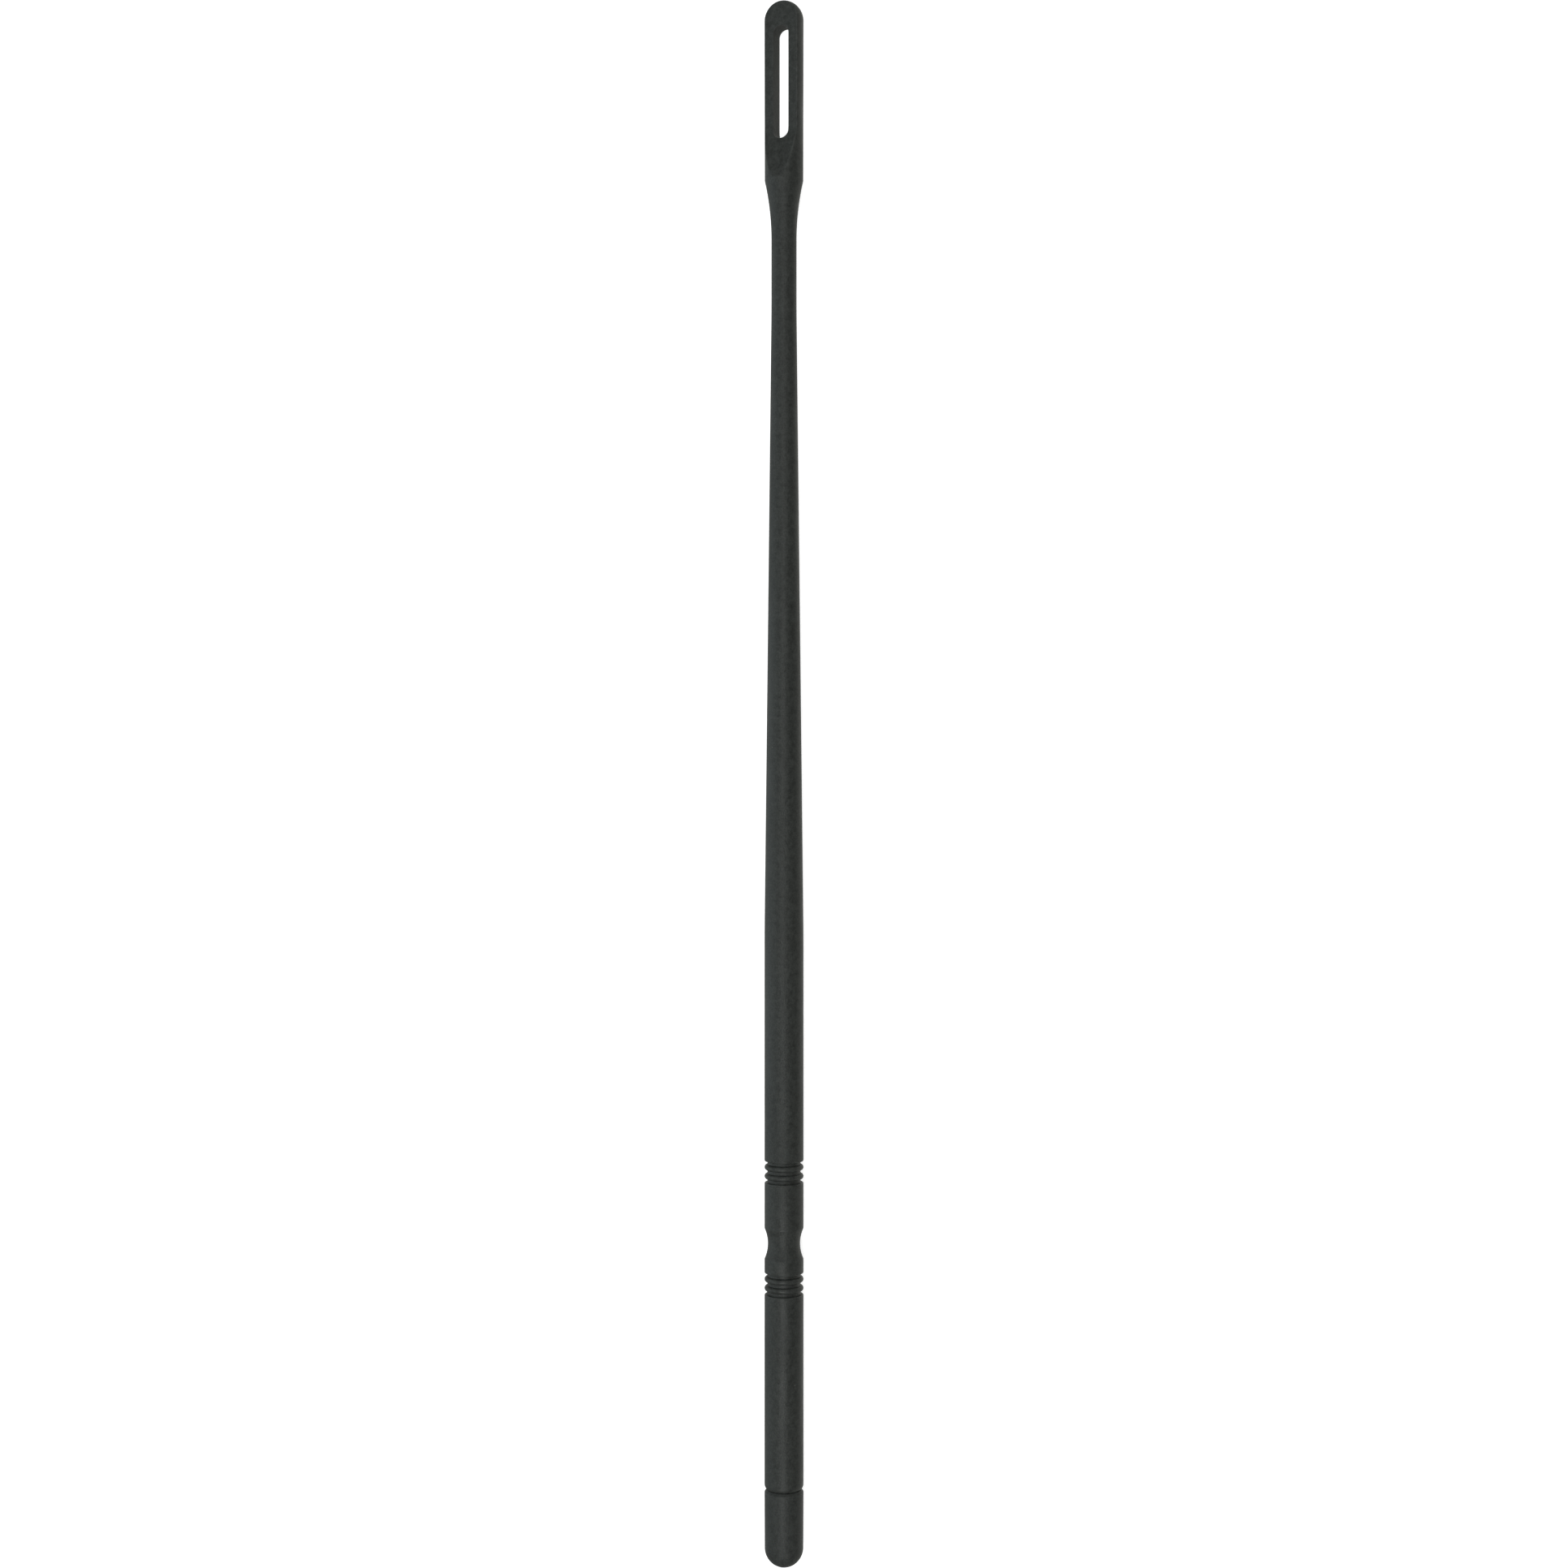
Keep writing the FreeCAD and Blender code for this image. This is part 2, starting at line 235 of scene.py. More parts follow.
def flare():
    """The concave flare from the neck out to the eye's shoulder."""
    length = SHOULDER - NECK_END
    rise = SHOULDER_RADIUS - NECK_RADIUS
    radius = (length**2 + rise**2) / (2 * rise)
    spread = math.degrees(math.asin(length / radius))
    return Arc((NECK_END, NECK_RADIUS + radius), radius, 270, 270 + spread, SHORT_STEP)


def rod_runs():
    """From the bottom of the socket, round the joint face and along the rod to the slot's start."""
    root = GRIP_RADIUS - JOINT_DEPTH
    first, first_start, first_end = bead_runs(BEAD_GROUPS[0])
    second, second_start, second_end = bead_runs(BEAD_GROUPS[1])
    waist_start = (WAIST - WAIST_HALF_LENGTH, GRIP_RADIUS)
    waist_end = (WAIST + WAIST_HALF_LENGTH, GRIP_RADIUS)
    lip_end = (JOINT + ROD_LIP, GRIP_RADIUS)
    shoulder = (SHOULDER, SHOULDER_RADIUS)
    slot_start = SLOT_START - SLOT_EDGE
    return [
        (Line((SOCKET_BOTTOM, 0.0), (SOCKET_BOTTOM, SOCKET_RADIUS), SHORT_STEP), HIDDEN_SOFTNESS),
        (Line((SOCKET_BOTTOM, SOCKET_RADIUS), (JOINT, SOCKET_RADIUS), LONG_STEP), HIDDEN_SOFTNESS),
        (Line((JOINT, SOCKET_RADIUS), (JOINT, root), SHORT_STEP), GROOVE_SOFTNESS),
        (rod_lip(), 0.0),
        (Line(lip_end, (first_start, GRIP_RADIUS), LONG_STEP), 0.0),
        *first,
        (Line((first_end, GRIP_RADIUS), waist_start, SHORT_STEP), WAIST_SOFTNESS),
        (waist_bow(waist_start, waist_end), WAIST_SOFTNESS),
        (Line(waist_end, (second_start, GRIP_RADIUS), SHORT_STEP), 0.0),
        *second,
        (Line((second_end, GRIP_RADIUS), (TAPER_START, GRIP_RADIUS), LONG_STEP), TAPER_SOFTNESS),
        (Line((TAPER_START, GRIP_RADIUS), (TAPER_END, NECK_RADIUS), LONG_STEP), TAPER_SOFTNESS),
        (Line((TAPER_END, NECK_RADIUS), (NECK_END, NECK_RADIUS), LONG_STEP), 0.0),
        (flare(), SHOULDER_SOFTNESS),
        (Line(shoulder, (slot_start, barrel_radius(slot_start)), FINE_STEP * 2), 0.0),
    ]


def eye_end_runs():
    """The eye's outline beyond the slot, to the rounded end."""
    dome_start = EYE_END - GRIP_RADIUS
    crown_start = SLOT_END + SLOT_EDGE
    start = (crown_start, barrel_radius(crown_start))
    return [
        (Line(start, (dome_start, GRIP_RADIUS), FINE_STEP * 2), 0.0),
        (Arc((dome_start, 0.0), GRIP_RADIUS, 90, 0, FINE_STEP), 0.0),
    ]


def tip_runs():
    """The tip's outline from its rounded end, over its bevelled lip and along the spigot."""
    root = GRIP_RADIUS - JOINT_DEPTH
    gap_start = JOINT - GAP_WIDTH
    gap_floor = root - GAP_DEPTH
    lip = (gap_start - TIP_LIP, GRIP_RADIUS)
    spigot_end = JOINT + SPIGOT_LENGTH
    chamfer_start = (spigot_end - SPIGOT_CHAMFER, SPIGOT_RADIUS)
    chamfer_end = (spigot_end, SPIGOT_RADIUS - SPIGOT_CHAMFER)
    return [
        (Arc((DOME_RADIUS, 0.0), DOME_RADIUS, 180, 90, FINE_STEP * 2), 0.0),
        (Line((DOME_RADIUS, DOME_RADIUS), lip, SHORT_STEP * 2), LIP_SOFTNESS),
        (Line(lip, (gap_start, root), FINE_STEP / 2), GROOVE_SOFTNESS),
        (Line((gap_start, root), (gap_start, gap_floor), FINE_STEP), GROOVE_SOFTNESS),
        (Line((gap_start, gap_floor), (JOINT, gap_floor), FINE_STEP), GROOVE_SOFTNESS),
        (Line((JOINT, gap_floor), (JOINT, SPIGOT_RADIUS), SHORT_STEP), HIDDEN_SOFTNESS),
        (Line((JOINT, SPIGOT_RADIUS), chamfer_start, LONG_STEP), HIDDEN_SOFTNESS),
        (Line(chamfer_start, chamfer_end, FINE_STEP), HIDDEN_SOFTNESS),
        (Line(chamfer_end, (spigot_end, 0.0), SHORT_STEP), 0.0),
    ]


def edge_wear(points):
    """How far handling rubs each point of an outline: 0 on plain runs, up to 1 on tight convex edges."""
    least_curvature = 0.4
    curvature_range = 2.5
    wear = []
    for i, point in enumerate(points):
        before = points[max(i - 1, 0)]
        after = points[min(i + 1, len(points) - 1)]
        run_in = point - before
        run_out = after - point
        turn = math.atan2(
            run_in[1] * run_out[0] - run_in[0] * run_out[1],
            run_in[0] * run_out[0] + run_in[1] * run_out[1],
        )
        curvature = turn / max((np.linalg.norm(run_in) + np.linalg.norm(run_out)) / 2, 1e-6)
        wear.append(min(max((curvature - least_curvature) / curvature_range, 0.0), 1.0))
    return wear


# ------------------------------------------------------------------------------ sections


def barrel_radius(x):
    """The eye's round outline at a station, before the flats are cut."""
    dome_start = EYE_END - GRIP_RADIUS
    if x > dome_start:
        return math.sqrt(max(GRIP_RADIUS**2 - (x - dome_start) ** 2, 0.0))
    share = (x - SHOULDER) / (dome_start - SHOULDER)
    return SHOULDER_RADIUS + (GRIP_RADIUS - SHOULDER_RADIUS) * share


def flat_height(x):
    """Half the eye's thickness at a station: the flat, and the ramp that runs out at the shoulder."""
    before = FLAT_START - x
    if before <= -RAMP_BLEND:
        return FLAT_HEIGHT
    if before >= RAMP_BLEND:
        return FLAT_HEIGHT + before * RAMP_SLOPE
    return FLAT_HEIGHT + RAMP_SLOPE * (before + RAMP_BLEND) ** 2 / (4 * RAMP_BLEND)


def corner_centre(radius, height):
    """Centre of the small arc that rounds a flat into the barrel."""
    across = math.sqrt(max((radius - FLAT_EDGE) ** 2 - (height - FLAT_EDGE) ** 2, 0.0))
    return across, height - FLAT_EDGE


def down_to_seam(first, count):
    """Angles from first down to the parting line at the middle of the side."""
    plain = count - 2
    angles = [first + (SEAM_BAND - first) * i / plain for i in range(1, plain + 1)]
    return angles + [SEAM_TROUGH, 0.0]


def corner_and_side(radius, height):
    """A flattened section from its flat's edge to the middle of its side, as (y, z) points."""
    across, up = corner_centre(radius, height)
    side_angle = math.atan2(up, across)
    points = []
    for i in range(CORNER_COLUMNS + 1):
        angle = math.pi / 2 + (side_angle - math.pi / 2) * i / CORNER_COLUMNS
        points.append((across + FLAT_EDGE * math.cos(angle), up + FLAT_EDGE * math.sin(angle)))
    for angle in down_to_seam(side_angle, SIDE_COLUMNS):
        points.append((radius * math.cos(angle), radius * math.sin(angle)))
    return points


def section_reach(angle, radius, height):
    """Distance from the axis to a flattened section, at an angle from the side towards the flat."""
    across, up = corner_centre(radius, height)
    if angle >= math.atan2(height, across):
        return height / math.sin(angle)
    if angle <= math.atan2(up, across):
        return radius
    along = across * math.cos(angle) + up * math.sin(angle)
    return along + math.sqrt(along**2 - (across**2 + up**2) + FLAT_EDGE**2)


def quarter_section(radius, height):
    """A quarter of a section without a slot, from the middle of the flat to the middle of the side.

    The columns spread evenly round a circle, and gather to follow the flat's edge as it widens.
    Returns the points and how sharp the flat's edge is, from 0 to 1.
    """
    even = [math.pi / 2] + down_to_seam(math.pi / 2, QUARTER_COLUMNS)
    if height >= radius:
        return [(radius * math.cos(angle), radius * math.sin(angle)) for angle in even], 0.0
    across, _ = corner_centre(radius, height)
    gathered = [(across * i / STRIP_COLUMNS, height) for i in range(STRIP_COLUMNS)]
    gathered += corner_and_side(radius, height)
    flatness = min(math.sqrt(1 - (height / radius) ** 2) / 0.8, 1.0)
    share = flatness**2 * (3 - 2 * flatness)
    points = []
    for spread, (y, z) in zip(even, gathered):
        angle = spread + (math.atan2(z, y) - spread) * share
        reach = section_reach(angle, radius, height)
        points.append((reach * math.cos(angle), reach * math.sin(angle)))
    return points, share


def with_seam(quarter):
    """Presses the parting line's trough into the columns at the side's middle."""
    radius = quarter[-1][0]
    trough = radius - SEAM_DEPTH
    quarter[-2] = (trough * math.cos(SEAM_TROUGH), trough * math.sin(SEAM_TROUGH))
    quarter[-1] = (radius * math.cos(SEAM_BAND), 0.0)
    return quarter


def edge_columns(sharpness):
    """How worn each column of a quarter is, where a flat's edge is this sharp."""
    wear = [PLAIN] * (QUARTER_COLUMNS + 1)
    for i in range(STRIP_COLUMNS, STRIP_COLUMNS + CORNER_COLUMNS + 1):
        wear[i] = sharpness
    return wear


def half_row(stations, quarter, wear):
    """A row of the half rod at Y >= 0, from the upper middle round to the lower middle.

    Each point is (x, y, z, wear).
    """
    upper = [(x, y, z, worn) for x, (y, z), worn in zip(stations, quarter, wear)]
    lower = [(x, y, -z, worn) for x, y, z, worn in reversed(upper[:-1])]
    return upper + lower


def plain_row(x, radius, wear=PLAIN, height=math.inf, seam=True):
    """A row of a section without a slot. On the axis it shrinks to a point."""
    radius = radius if radius > 1e-6 else 0.0
    quarter, sharpness = quarter_section(radius, height)
    if seam and radius > 1.0:
        quarter = with_seam(quarter)
    worn = [max(wear, column) for column in edge_columns(sharpness)]
    return half_row([x] * len(quarter), quarter, worn)


def slot_row(side_x, edge, outward):
    """A row beside the slot: edge is the slot's outline there, and outward points into the plastic."""
    radius = barrel_radius(side_x)
    across, _ = corner_centre(radius, flat_height(side_x))
    inner = (edge[0] + outward[0] * SLOT_EDGE, edge[1] + outward[1] * SLOT_EDGE)
    stations = []
    quarter = []
    for i in range(STRIP_COLUMNS):
        share = i / STRIP_COLUMNS
        x = inner[0] + (side_x - inner[0]) * share
        stations.append(x)
        quarter.append((inner[1] + (across - inner[1]) * share, flat_height(x)))
    corner = corner_and_side(radius, flat_height(side_x))
    stations += [side_x] * len(corner)
    wear = edge_columns(RUBBED)
    wear[0] = RUBBED
    return half_row(stations, with_seam(quarter + corner), wear)


# ------------------------------------------------------------------------------ meshes


class HalfMesh:
    """Vertices and faces of the half of a piece at Y >= 0, which is then mirrored and welded."""

    def __init__(self):
        self.vertices = []
        self.faces = []

    def add_row(self, row):
        """Adds a row of points and returns their indices. A row on the axis is one point."""
        if max(abs(y) + abs(z) for _, y, z, _ in row) < 1e-9:
            self.vertices.append(row[0])
            return [len(self.vertices) - 1] * len(row)
        first = len(self.vertices)
        self.vertices += row
        return list(range(first, first + len(row)))

    def join(self, before, after):
        """Faces between two rows of indices."""
        for a, b, c, d in zip(before, before[1:], after[1:], after):
            corners = list(dict.fromkeys((a, b, c, d)))
            if len(corners) > 2:
                self.faces.append(corners)

    def whole(self):
        """Vertices in metres in the row's frame, faces and wear of both halves."""
        points = np.array([vertex[:3] for vertex in self.vertices])
        wear = np.array([vertex[3] for vertex in self.vertices])
        points[np.abs(points[:, 1]) < 1e-7, 1] = 0.0
        off_plane = points[:, 1] > 0.0
        twin = np.arange(len(points))
        twin[off_plane] = len(points) + np.arange(off_plane.sum())
        points = np.vstack([points, points[off_plane] * (1, -1, 1)]) * MM
        points += (TIP_END, 0.0, AXIS_HEIGHT)
        wear = np.concatenate([wear, wear[off_plane]])
        faces = self.faces + [[int(twin[i]) for i in reversed(face)] for face in self.faces]
        return points, faces, wear


def slot_rows():
    """Rows beside the slot, each with its place on the slot's outline: (side, edge, outward)."""
    near = SLOT_START + SLOT_RADIUS
    far = SLOT_END - SLOT_RADIUS
    reach = SLOT_RADIUS + SLOT_EDGE
    rows = []
    for i in range(SLOT_END_ROWS + 1):
        turn = math.pi / 2 * i / SLOT_END_ROWS
        outward = (-math.cos(turn), math.sin(turn))
        edge = (near + SLOT_RADIUS * outward[0], SLOT_RADIUS * outward[1])
        rows.append((near - reach * (1 - i / SLOT_END_ROWS), edge, outward))
    straight = math.ceil((far - near) / (SHORT_STEP * 1.5))
    for i in range(1, straight):
        x = near + (far - near) * i / straight
        rows.append((x, (x, SLOT_RADIUS), (0.0, 1.0)))
    for i in range(SLOT_END_ROWS + 1):
        turn = math.pi / 2 * (1 - i / SLOT_END_ROWS)
        outward = (math.cos(turn), math.sin(turn))
        edge = (far + SLOT_RADIUS * outward[0], SLOT_RADIUS * outward[1])
        rows.append((far + reach * i / SLOT_END_ROWS, edge, outward))
    return rows


def wall_row(mesh, main, edge, outward):
    """A row down the slot's wall, from the upper face to the lower one, with rounded edges."""
    top = mesh.vertices[main[0]][2]
    points = []
    for turn in (30, 60, 90):
        angle = math.radians(turn)
        back = SLOT_EDGE * (1 - math.sin(angle))
        z = top - SLOT_EDGE * (1 - math.cos(angle))
        worn = RUBBED * math.cos(angle)
        points.append((edge[0] + outward[0] * back, edge[1] + outward[1] * back, z, worn))
    x, y, start, _ = points[-1]
    wall_steps = 5
    wall = [(x, y, start * (1 - 2 * i / wall_steps), SHELTERED) for i in range(1, wall_steps)]
    under = [(x, y, -z, worn) for x, y, z, worn in reversed(points)]
    first = len(mesh.vertices)
    mesh.vertices += points + wall + under
    return [main[0], *range(first, len(mesh.vertices)), main[-1]]


def rod_mesh():
    """The whole moulding: socket, grip, taper, neck, flare and eye."""
    mesh = HalfMesh()
    outline = trace(rod_runs())
    before = None
    for (x, radius), wear in zip(outline[:-1], edge_wear(outline)):
        in_socket = radius < SOCKET_RADIUS + 0.1 and x < SOCKET_BOTTOM + 0.1
        height = flat_height(x) if x > RAMP_END else math.inf
        after = mesh.add_row(plain_row(x, radius, wear, height, seam=not in_socket))
        if before:
            mesh.join(before, after)
        before = after

    wall_before = None
    for side, edge, outward in slot_rows():
        after = mesh.add_row(slot_row(side, edge, outward))
        wall_after = wall_row(mesh, after, edge, outward)
        mesh.join(before, after)
        if wall_before:
            mesh.join(wall_after, wall_before)
        before = after
        wall_before = wall_after

    for x, radius in trace(eye_end_runs())[1:]:
        after = mesh.add_row(plain_row(x, radius, PLAIN, flat_height(x)))
        mesh.join(before, after)
        before = after
    return mesh.whole()


def tip_mesh():
    """The rounded gauge tip and its spigot."""
    mesh = HalfMesh()
    outline = trace(tip_runs())
    before = None
    for (x, radius), wear in zip(outline, edge_wear(outline)):
        on_spigot = x > JOINT - GAP_WIDTH
        after = mesh.add_row(plain_row(x, radius, wear, seam=not on_spigot))
        if before:
            mesh.join(before, after)
        before = after
    return mesh.whole()


def make_piece(name, points, faces, wear):
    """A smooth-shaded mesh object whose flat faces stay flat next to its small rounded edges."""
    mesh = bpy.data.meshes.new(name)
    mesh.from_pydata(points.tolist(), [], faces)
    mesh.update()
    mesh.shade_smooth()
    worn = mesh.attributes.new("wear", "FLOAT", "POINT")
    worn.data.foreach_set("value", wear)
    piece = bpy.data.objects.new(name, mesh)
    bpy.context.scene.collection.objects.link(piece)
    normals = piece.modifiers.new("normals_by_area", "WEIGHTED_NORMAL")
    normals.mode = "FACE_AREA"
    normals.weight = 50
    return piece


# ------------------------------------------------------------------------------ materials

# Features of the plastic's texture, by their size across, and how high or deep the relief is
GRAIN_SIZE = 0.36
MOTTLE_SIZE = 1.2
PATCH_SIZE = 5.0
GRAIN_HEIGHT = 0.035
MOTTLE_HEIGHT = 0.07
SCRATCH_SPACING = 2.6
SCRATCH_BREAKS = 7.0
SCRATCH_STRETCH = 12.0
SCRATCH_DEPTH = 0.004
DUST_SPACING = 4.5

# Linear colours
NEAR_BLACK = (0.0187, 0.0215, 0.02, 1)
LIT_BLACK = (0.0445, 0.0495, 0.0465, 1)
TIP_NEAR_BLACK = (0.0187, 0.0215, 0.0203, 1)
TIP_LIT_BLACK = (0.0445, 0.0495, 0.0472, 1)
RUBBED_GREY = (0.085, 0.09, 0.087, 1)
DUST_GREY = (0.36, 0.36, 0.34, 1)

ROD_MATTE = 0.5
TIP_MATTE = 0.58
PLASTIC_IOR = 1.5


class Nodes:
    """Short ways to add nodes to a material and link them."""

    def __init__(self, material):
        material.use_nodes = True
        self.tree = material.node_tree
        self.shader = self.tree.nodes["Principled BSDF"]

    def link(self, source, target):
        self.tree.links.new(source, target)

    def feed(self, socket, value):
        """Sets an input from another node's output, or to a plain value."""
        if isinstance(value, bpy.types.NodeSocket):
            self.link(value, socket)
        else:
            socket.default_value = value

    def noise(self, place, size, detail, roughness=0.5):
        """Noise whose features are about size millimetres across."""
        node = self.tree.nodes.new("ShaderNodeTexNoise")
        node.inputs["Scale"].default_value = 1 / (size * MM)
        node.inputs["Detail"].default_value = detail
        node.inputs["Roughness"].default_value = roughness
        self.link(place, node.inputs["Vector"])
        return node.outputs["Fac"]

    def stretched(self, place, scale, shift=(0, 0, 0), turn=(0, 0, 0)):
        """Coordinates scaled by a different amount along each axis."""
        node = self.tree.nodes.new("ShaderNodeMapping")
        node.inputs["Scale"].default_value = scale
        node.inputs["Location"].default_value = shift
        node.inputs["Rotation"].default_value = [math.radians(angle) for angle in turn]
        self.link(place, node.inputs["Vector"])
        return node.outputs["Vector"]

    def fit(self, value, low, high, to_low, to_high):
        """Maps low..high to to_low..to_high, and clamps."""
        node = self.tree.nodes.new("ShaderNodeMapRange")
        node.inputs["From Min"].default_value = low
        node.inputs["From Max"].default_value = high
        node.inputs["To Min"].default_value = to_low
        node.inputs["To Max"].default_value = to_high
        self.link(value, node.inputs["Value"])
        return node.outputs["Result"]

    def math(self, operation, first, second):
        node = self.tree.nodes.new("ShaderNodeMath")
        node.operation = operation
        self.feed(node.inputs[0], first)
        self.feed(node.inputs[1], second)
        return node.outputs["Value"]

    def mix(self, share, first, second):
        """Mixes two colours."""
        node = self.tree.nodes.new("ShaderNodeMix")
        node.data_type = "RGBA"
        self.feed(node.inputs["Factor"], share)
        self.feed(node.inputs[6], first)
        self.feed(node.inputs[7], second)
        return node.outputs[2]


def dust_mask(nodes, place):
    """Rare pale specks, about a tenth of a millimetre across."""
    cells = nodes.tree.nodes.new("ShaderNodeTexVoronoi")
    cells.inputs["Scale"].default_value = 1 / (DUST_SPACING * MM)
    nodes.link(place, cells.inputs["Vector"])
    picked = nodes.tree.nodes.new("ShaderNodeSeparateColor")
    nodes.link(cells.outputs["Color"], picked.inputs["Color"])
    core, rim = 0.012, 0.024
    bare_share = 0.45
    speck = nodes.fit(cells.outputs["Distance"], core, rim, 1.0, 0.0)
    chosen = nodes.math("GREATER_THAN", picked.outputs["Red"], bare_share)
    return nodes.math("MULTIPLY", speck, chosen)


def scratch_mask(nodes, place, turn, shift):
    """Hair-fine rubs in one direction, broken up so that only short lengths show."""
    half_width = 0.006
    across = nodes.stretched(place, (1.0, SCRATCH_STRETCH, SCRATCH_STRETCH), shift, turn)
    lines = nodes.math("SUBTRACT", nodes.noise(across, SCRATCH_SPACING, 2.0), 0.5)
    crest = nodes.fit(nodes.math("ABSOLUTE", lines, 0.0), 0.0, half_width, 1.0, 0.0)
    breaks = nodes.noise(nodes.stretched(place, (1, 1, 1), shift), SCRATCH_BREAKS, 1.0)
    return nodes.math("MULTIPLY", crest, nodes.fit(breaks, 0.58, 0.68, 0.0, 1.0))


def plastic_colour(nodes, tone, marks, dark, light):
    """Mottled near-black, paler where the edges are rubbed, where scratches run and under dust."""
    colour = nodes.mix(nodes.fit(tone, 0.38, 0.62, 0.0, 1.0), dark, light)
    for mark, strength, grey in (
        ("rub", 0.3, RUBBED_GREY),
        ("scratches", 0.22, RUBBED_GREY),
        ("dust", 0.7, DUST_GREY),
    ):
        colour = nodes.mix(nodes.math("MULTIPLY", marks[mark], strength), colour, grey)
    return colour


def plastic_roughness(nodes, sheen, marks, matte):
    """Uneven about the plastic's own roughness, polished by rubbing and duller where sheltered."""
    polish = 0.1
    dulling = 0.15
    roughness = nodes.fit(sheen, 0.36, 0.64, matte - 0.08, matte + 0.09)
    roughness = nodes.math("SUBTRACT", roughness, nodes.math("MULTIPLY", marks["rub"], polish))
    return nodes.math("ADD", roughness, nodes.math("MULTIPLY", marks["sheltered"], dulling))


def plastic_relief(nodes, grain, mottle, scratches):
    """The moulded surface's fine relief, in millimetres, as a normal."""
    fine = nodes.math("MULTIPLY", grain, GRAIN_HEIGHT)
    coarse = nodes.math("MULTIPLY", mottle, MOTTLE_HEIGHT)
    cut = nodes.math("MULTIPLY", scratches, SCRATCH_DEPTH)
    relief = nodes.math("SUBTRACT", nodes.math("ADD", fine, coarse), cut)
    bump = nodes.tree.nodes.new("ShaderNodeBump")
    bump.inputs["Distance"].default_value = MM
    bump.inputs["Strength"].default_value = 1.0
    nodes.link(relief, bump.inputs["Height"])
    return bump.outputs["Normal"]


def surface_marks(nodes, place, mottle):
    """Masks for rubbed edges, sheltered walls, scratches and dust."""
    wear = nodes.tree.nodes.new("ShaderNodeAttribute")
    wear.attribute_name = "wear"
    rubbed = nodes.fit(wear.outputs["Fac"], PLAIN, RUBBED, 0.0, 1.0)
    along_rod = scratch_mask(nodes, place, (0, 0, 8), (0.02, 0.0, 0.0))
    across_rod = scratch_mask(nodes, place, (20, 0, 78), (0.05, 0.01, 0.0))
    return {
        "rub": nodes.math("MULTIPLY", rubbed, nodes.fit(mottle, 0.35, 0.6, 0.15, 1.0)),
        "sheltered": nodes.fit(wear.outputs["Fac"], SHELTERED, PLAIN, 1.0, 0.0),
        "scratches": nodes.math("ADD", along_rod, across_rod),
        "dust": dust_mask(nodes, place),
    }


def make_plastic(name, shift, dark, light, matte):
    """Matte black plastic: fine grain, uneven sheen, rubbed edges, faint scratches and dust."""
    material = bpy.data.materials.new(name)
    nodes = Nodes(material)
    coordinates = nodes.tree.nodes.new("ShaderNodeTexCoord")
    place = nodes.stretched(coordinates.outputs["Object"], (1, 1, 1), shift)
    grain = nodes.noise(place, GRAIN_SIZE, 2.0, 0.6)
    mottle = nodes.noise(place, MOTTLE_SIZE, 3.0, 0.6)
    patches = nodes.noise(nodes.stretched(place, (0.35, 1, 1)), PATCH_SIZE, 2.0)
    marks = surface_marks(nodes, place, mottle)

    tone = nodes.math("ADD", nodes.math("MULTIPLY", grain, 0.45), nodes.math("MULTIPLY", mottle, 0.55))
    sheen = nodes.math("ADD", nodes.math("MULTIPLY", mottle, 0.5), nodes.math("MULTIPLY", patches, 0.5))
    shader = nodes.shader
    nodes.link(plastic_colour(nodes, tone, marks, dark, light), shader.inputs["Base Color"])
    nodes.link(plastic_roughness(nodes, sheen, marks, matte), shader.inputs["Roughness"])
    nodes.link(plastic_relief(nodes, grain, mottle, marks["scratches"]), shader.inputs["Normal"])
    shader.inputs["IOR"].default_value = PLASTIC_IOR
    return material


# ------------------------------------------------------------------------------ pieces


def make_rod():
    """The one-piece moulding, from the joint's socket to the eye."""
    rod = make_piece("rod_moulding", *rod_mesh())
    plastic = make_plastic("rod_plastic", (0.0, 0.0, 0.0), NEAR_BLACK, LIT_BLACK, ROD_MATTE)
    rod.data.materials.append(plastic)
    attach(rod, "root")
    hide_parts("shank", "eye")


def make_tip():
    """The separate gauge tip, whose spigot sits in the rod's socket."""
    tip = make_piece("tip_moulding", *tip_mesh())
    plastic = make_plastic("tip_plastic", (0.3, 0.1, 0.2), TIP_NEAR_BLACK, TIP_LIT_BLACK, TIP_MATTE)
    tip.data.materials.append(plastic)
    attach(tip, "root")
    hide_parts("gauge_tip")


# ------------------------------------------------------------------------------ stage, light and camera

VIEW_ROLL = 24.1
CAMERA_DISTANCE = 0.474
SENSOR = 36.0
PICTURE_WIDTH = 0.3457

STUDIO_SIDES = 48
FLOOR_RADIUS = 4.0
COVE_RADIUS = 2.0
STUDIO_GREY = (0.8, 0.8, 0.8, 1)
STUDIO_GLOW = 0.8

# The world's light from straight below and from elsewhere, and the heights between which it changes
WORLD_COLOUR = (0.98, 0.985, 0.925, 1)
WORLD_BELOW = 0.78
WORLD_ABOVE = 0.215
WORLD_CHANGE = (-0.85, -0.25)
NEUTRAL = (0.98, 1.0, 0.985)
COOL = (0.88, 0.99, 1.03)


def round_axis(angle):
    """The direction square to the rod at an angle from straight up, turning towards -Y."""
    turn = math.radians(angle)
    return Vector((0.0, -math.sin(turn), math.cos(turn)))


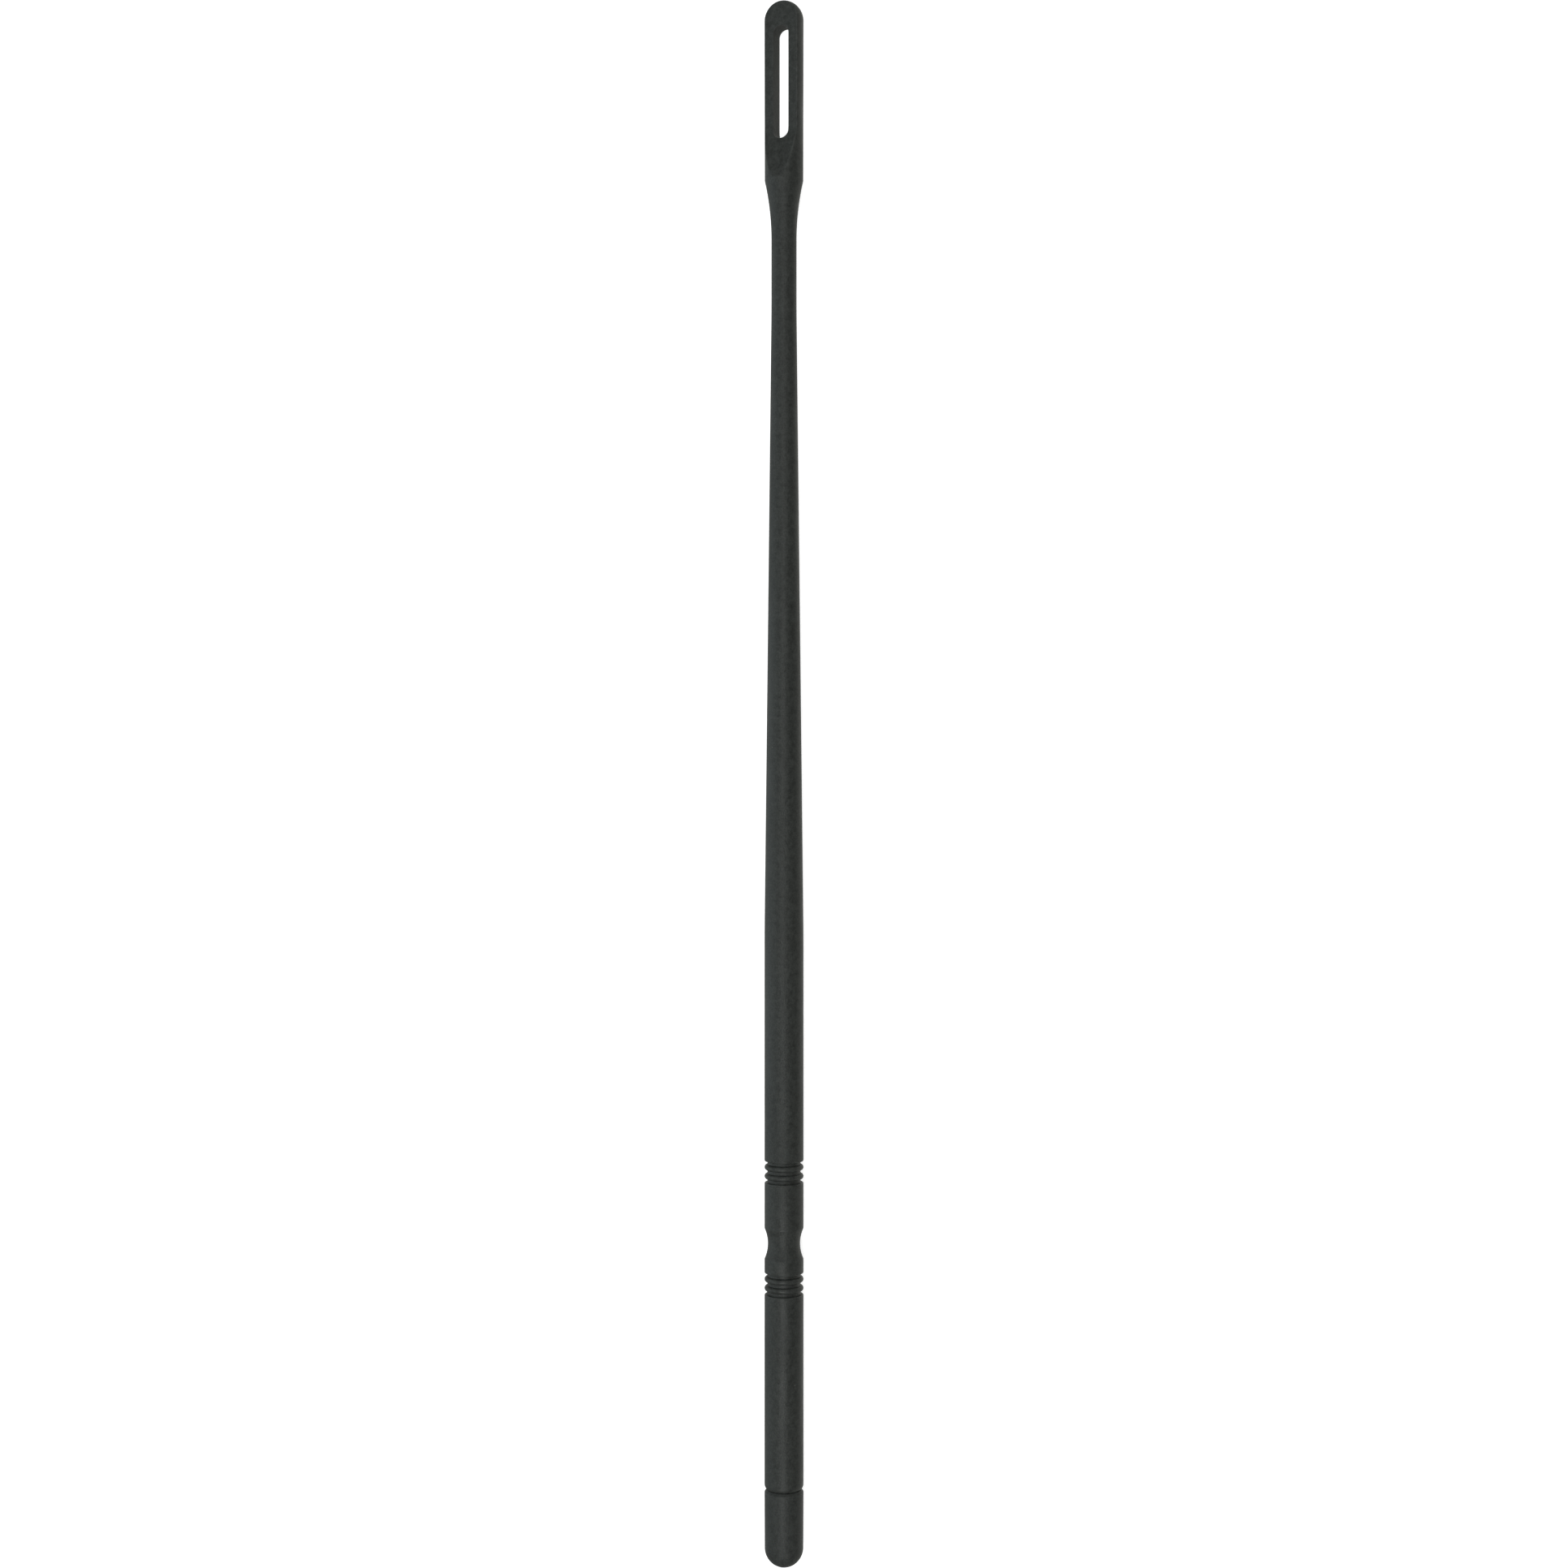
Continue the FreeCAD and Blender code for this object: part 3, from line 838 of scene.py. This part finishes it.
def make_studio_mesh():
    """A flat floor that curves up into a wall and a dome."""
    wall_radius = FLOOR_RADIUS + COVE_RADIUS
    top = COVE_RADIUS + FLOOR_RADIUS
    rings = [(radius, 0.0) for radius in (0.5, 2.0, FLOOR_RADIUS)]
    for turn in (0.4, 0.8, 1.2, 1.57):
        radius = FLOOR_RADIUS + COVE_RADIUS * math.sin(turn)
        rings.append((radius, COVE_RADIUS - COVE_RADIUS * math.cos(turn)))
    for turn in (0.4, 0.8, 1.2):
        rings.append((wall_radius * math.cos(turn), COVE_RADIUS + FLOOR_RADIUS * math.sin(turn)))
    points = [(0, 0, 0)]
    for radius, height in rings:
        for i in range(STUDIO_SIDES):
            turn = 2 * math.pi * i / STUDIO_SIDES
            points.append((radius * math.cos(turn), radius * math.sin(turn), height))
    points.append((0, 0, top))
    faces = [(0, 1 + i, 1 + (i + 1) % STUDIO_SIDES) for i in range(STUDIO_SIDES)]
    for ring in range(len(rings) - 1):
        low = 1 + ring * STUDIO_SIDES
        high = low + STUDIO_SIDES
        for i in range(STUDIO_SIDES):
            j = (i + 1) % STUDIO_SIDES
            faces.append((low + i, high + i, high + j, low + j))
    last = 1 + (len(rings) - 1) * STUDIO_SIDES
    faces += [(last + i, len(points) - 1, last + (i + 1) % STUDIO_SIDES) for i in range(STUDIO_SIDES)]
    mesh = bpy.data.meshes.new("studio")
    mesh.from_pydata(points, [], faces)
    mesh.shade_smooth()
    return mesh


def make_studio():
    """The pale surroundings. Only the camera sees them: the world lights the rod in their place."""
    mesh = make_studio_mesh()
    studio = bpy.data.objects.new("studio", mesh)
    bpy.context.scene.collection.objects.link(studio)
    studio.visible_diffuse = False
    studio.visible_glossy = False
    studio.visible_shadow = False
    material = bpy.data.materials.new("studio_white")
    material.use_nodes = True
    shader = material.node_tree.nodes["Principled BSDF"]
    shader.inputs["Base Color"].default_value = STUDIO_GREY
    shader.inputs["Roughness"].default_value = 1.0
    shader.inputs["Specular IOR Level"].default_value = 0.0
    shader.inputs["Emission Color"].default_value = (1, 1, 1, 1)
    shader.inputs["Emission Strength"].default_value = STUDIO_GLOW
    mesh.materials.append(material)


def make_world():
    """Even light from all round, and brighter from straight below, as from a pale table."""
    world = bpy.data.worlds.new("world")
    world.use_nodes = True
    nodes = world.node_tree.nodes
    links = world.node_tree.links
    background = nodes["Background"]
    background.inputs["Color"].default_value = WORLD_COLOUR
    place = nodes.new("ShaderNodeTexCoord")
    split = nodes.new("ShaderNodeSeparateXYZ")
    ramp = nodes.new("ShaderNodeMapRange")
    ramp.inputs["From Min"].default_value = WORLD_CHANGE[0]
    ramp.inputs["From Max"].default_value = WORLD_CHANGE[1]
    ramp.inputs["To Min"].default_value = WORLD_BELOW
    ramp.inputs["To Max"].default_value = WORLD_ABOVE
    links.new(place.outputs["Generated"], split.inputs["Vector"])
    links.new(split.outputs["Z"], ramp.inputs["Value"])
    links.new(ramp.outputs["Result"], background.inputs["Strength"])
    bpy.context.scene.world = world


def add_area_light(name, roll, tilt, distance, width, length, power, colour):
    """A soft rectangular light that faces the rod's middle.

    roll turns it round the rod from straight up towards -Y, and tilt leans it towards the eye.
    """
    light = bpy.data.lights.new(name, "AREA")
    light.shape = "RECTANGLE"
    light.size = length
    light.size_y = width
    light.energy = power
    light.color = colour
    lean = math.radians(tilt)
    back = round_axis(roll) * math.cos(lean) + Vector((math.sin(lean), 0, 0))
    across = back.cross(Vector((1, 0, 0))).normalized()
    along = across.cross(back)
    turn = Matrix((along, back.cross(along), back)).transposed().to_4x4()
    holder = bpy.data.objects.new(name, light)
    holder.matrix_world = Matrix.Translation(back * distance) @ turn
    bpy.context.scene.collection.objects.link(holder)


def make_lights():
    """A long soft light above the rod, one beyond each end, a key near the tip and a wide side fill."""
    add_area_light("key_light", 16.5, -31, 1.6, 0.5, 0.4, 2.6, NEUTRAL)
    add_area_light("strip_light", 16.5, -4, 1.4, 0.5, 1.7, 3.9, NEUTRAL)
    add_area_light("eye_end_light", 30, 44, 1.4, 0.8, 0.7, 1.8, NEUTRAL)
    add_area_light("tip_end_light", 12, -54, 1.4, 0.8, 0.7, 1.0, NEUTRAL)
    add_area_light("fill_light", -62, 0, 1.2, 2.3, 1.2, 5.2, COOL)


def make_camera():
    """Above the middle of the rod, with the rod upright in the picture and the eye at the top."""
    back = round_axis(VIEW_ROLL)
    up = Vector((1, 0, 0))
    right = up.cross(back)
    camera = bpy.data.cameras.new("camera")
    camera.sensor_width = SENSOR
    camera.lens = SENSOR * CAMERA_DISTANCE / PICTURE_WIDTH
    holder = bpy.data.objects.new("camera", camera)
    centre = Vector((0, 0, AXIS_HEIGHT))
    turn = Matrix((right, up, back)).transposed().to_4x4()
    holder.matrix_world = Matrix.Translation(centre + back * CAMERA_DISTANCE) @ turn
    bpy.context.scene.collection.objects.link(holder)
    bpy.context.scene.camera = holder


make_rod()
make_tip()
make_studio()
make_world()
make_lights()
make_camera()
bpy.context.scene.view_settings.view_transform = "Standard"
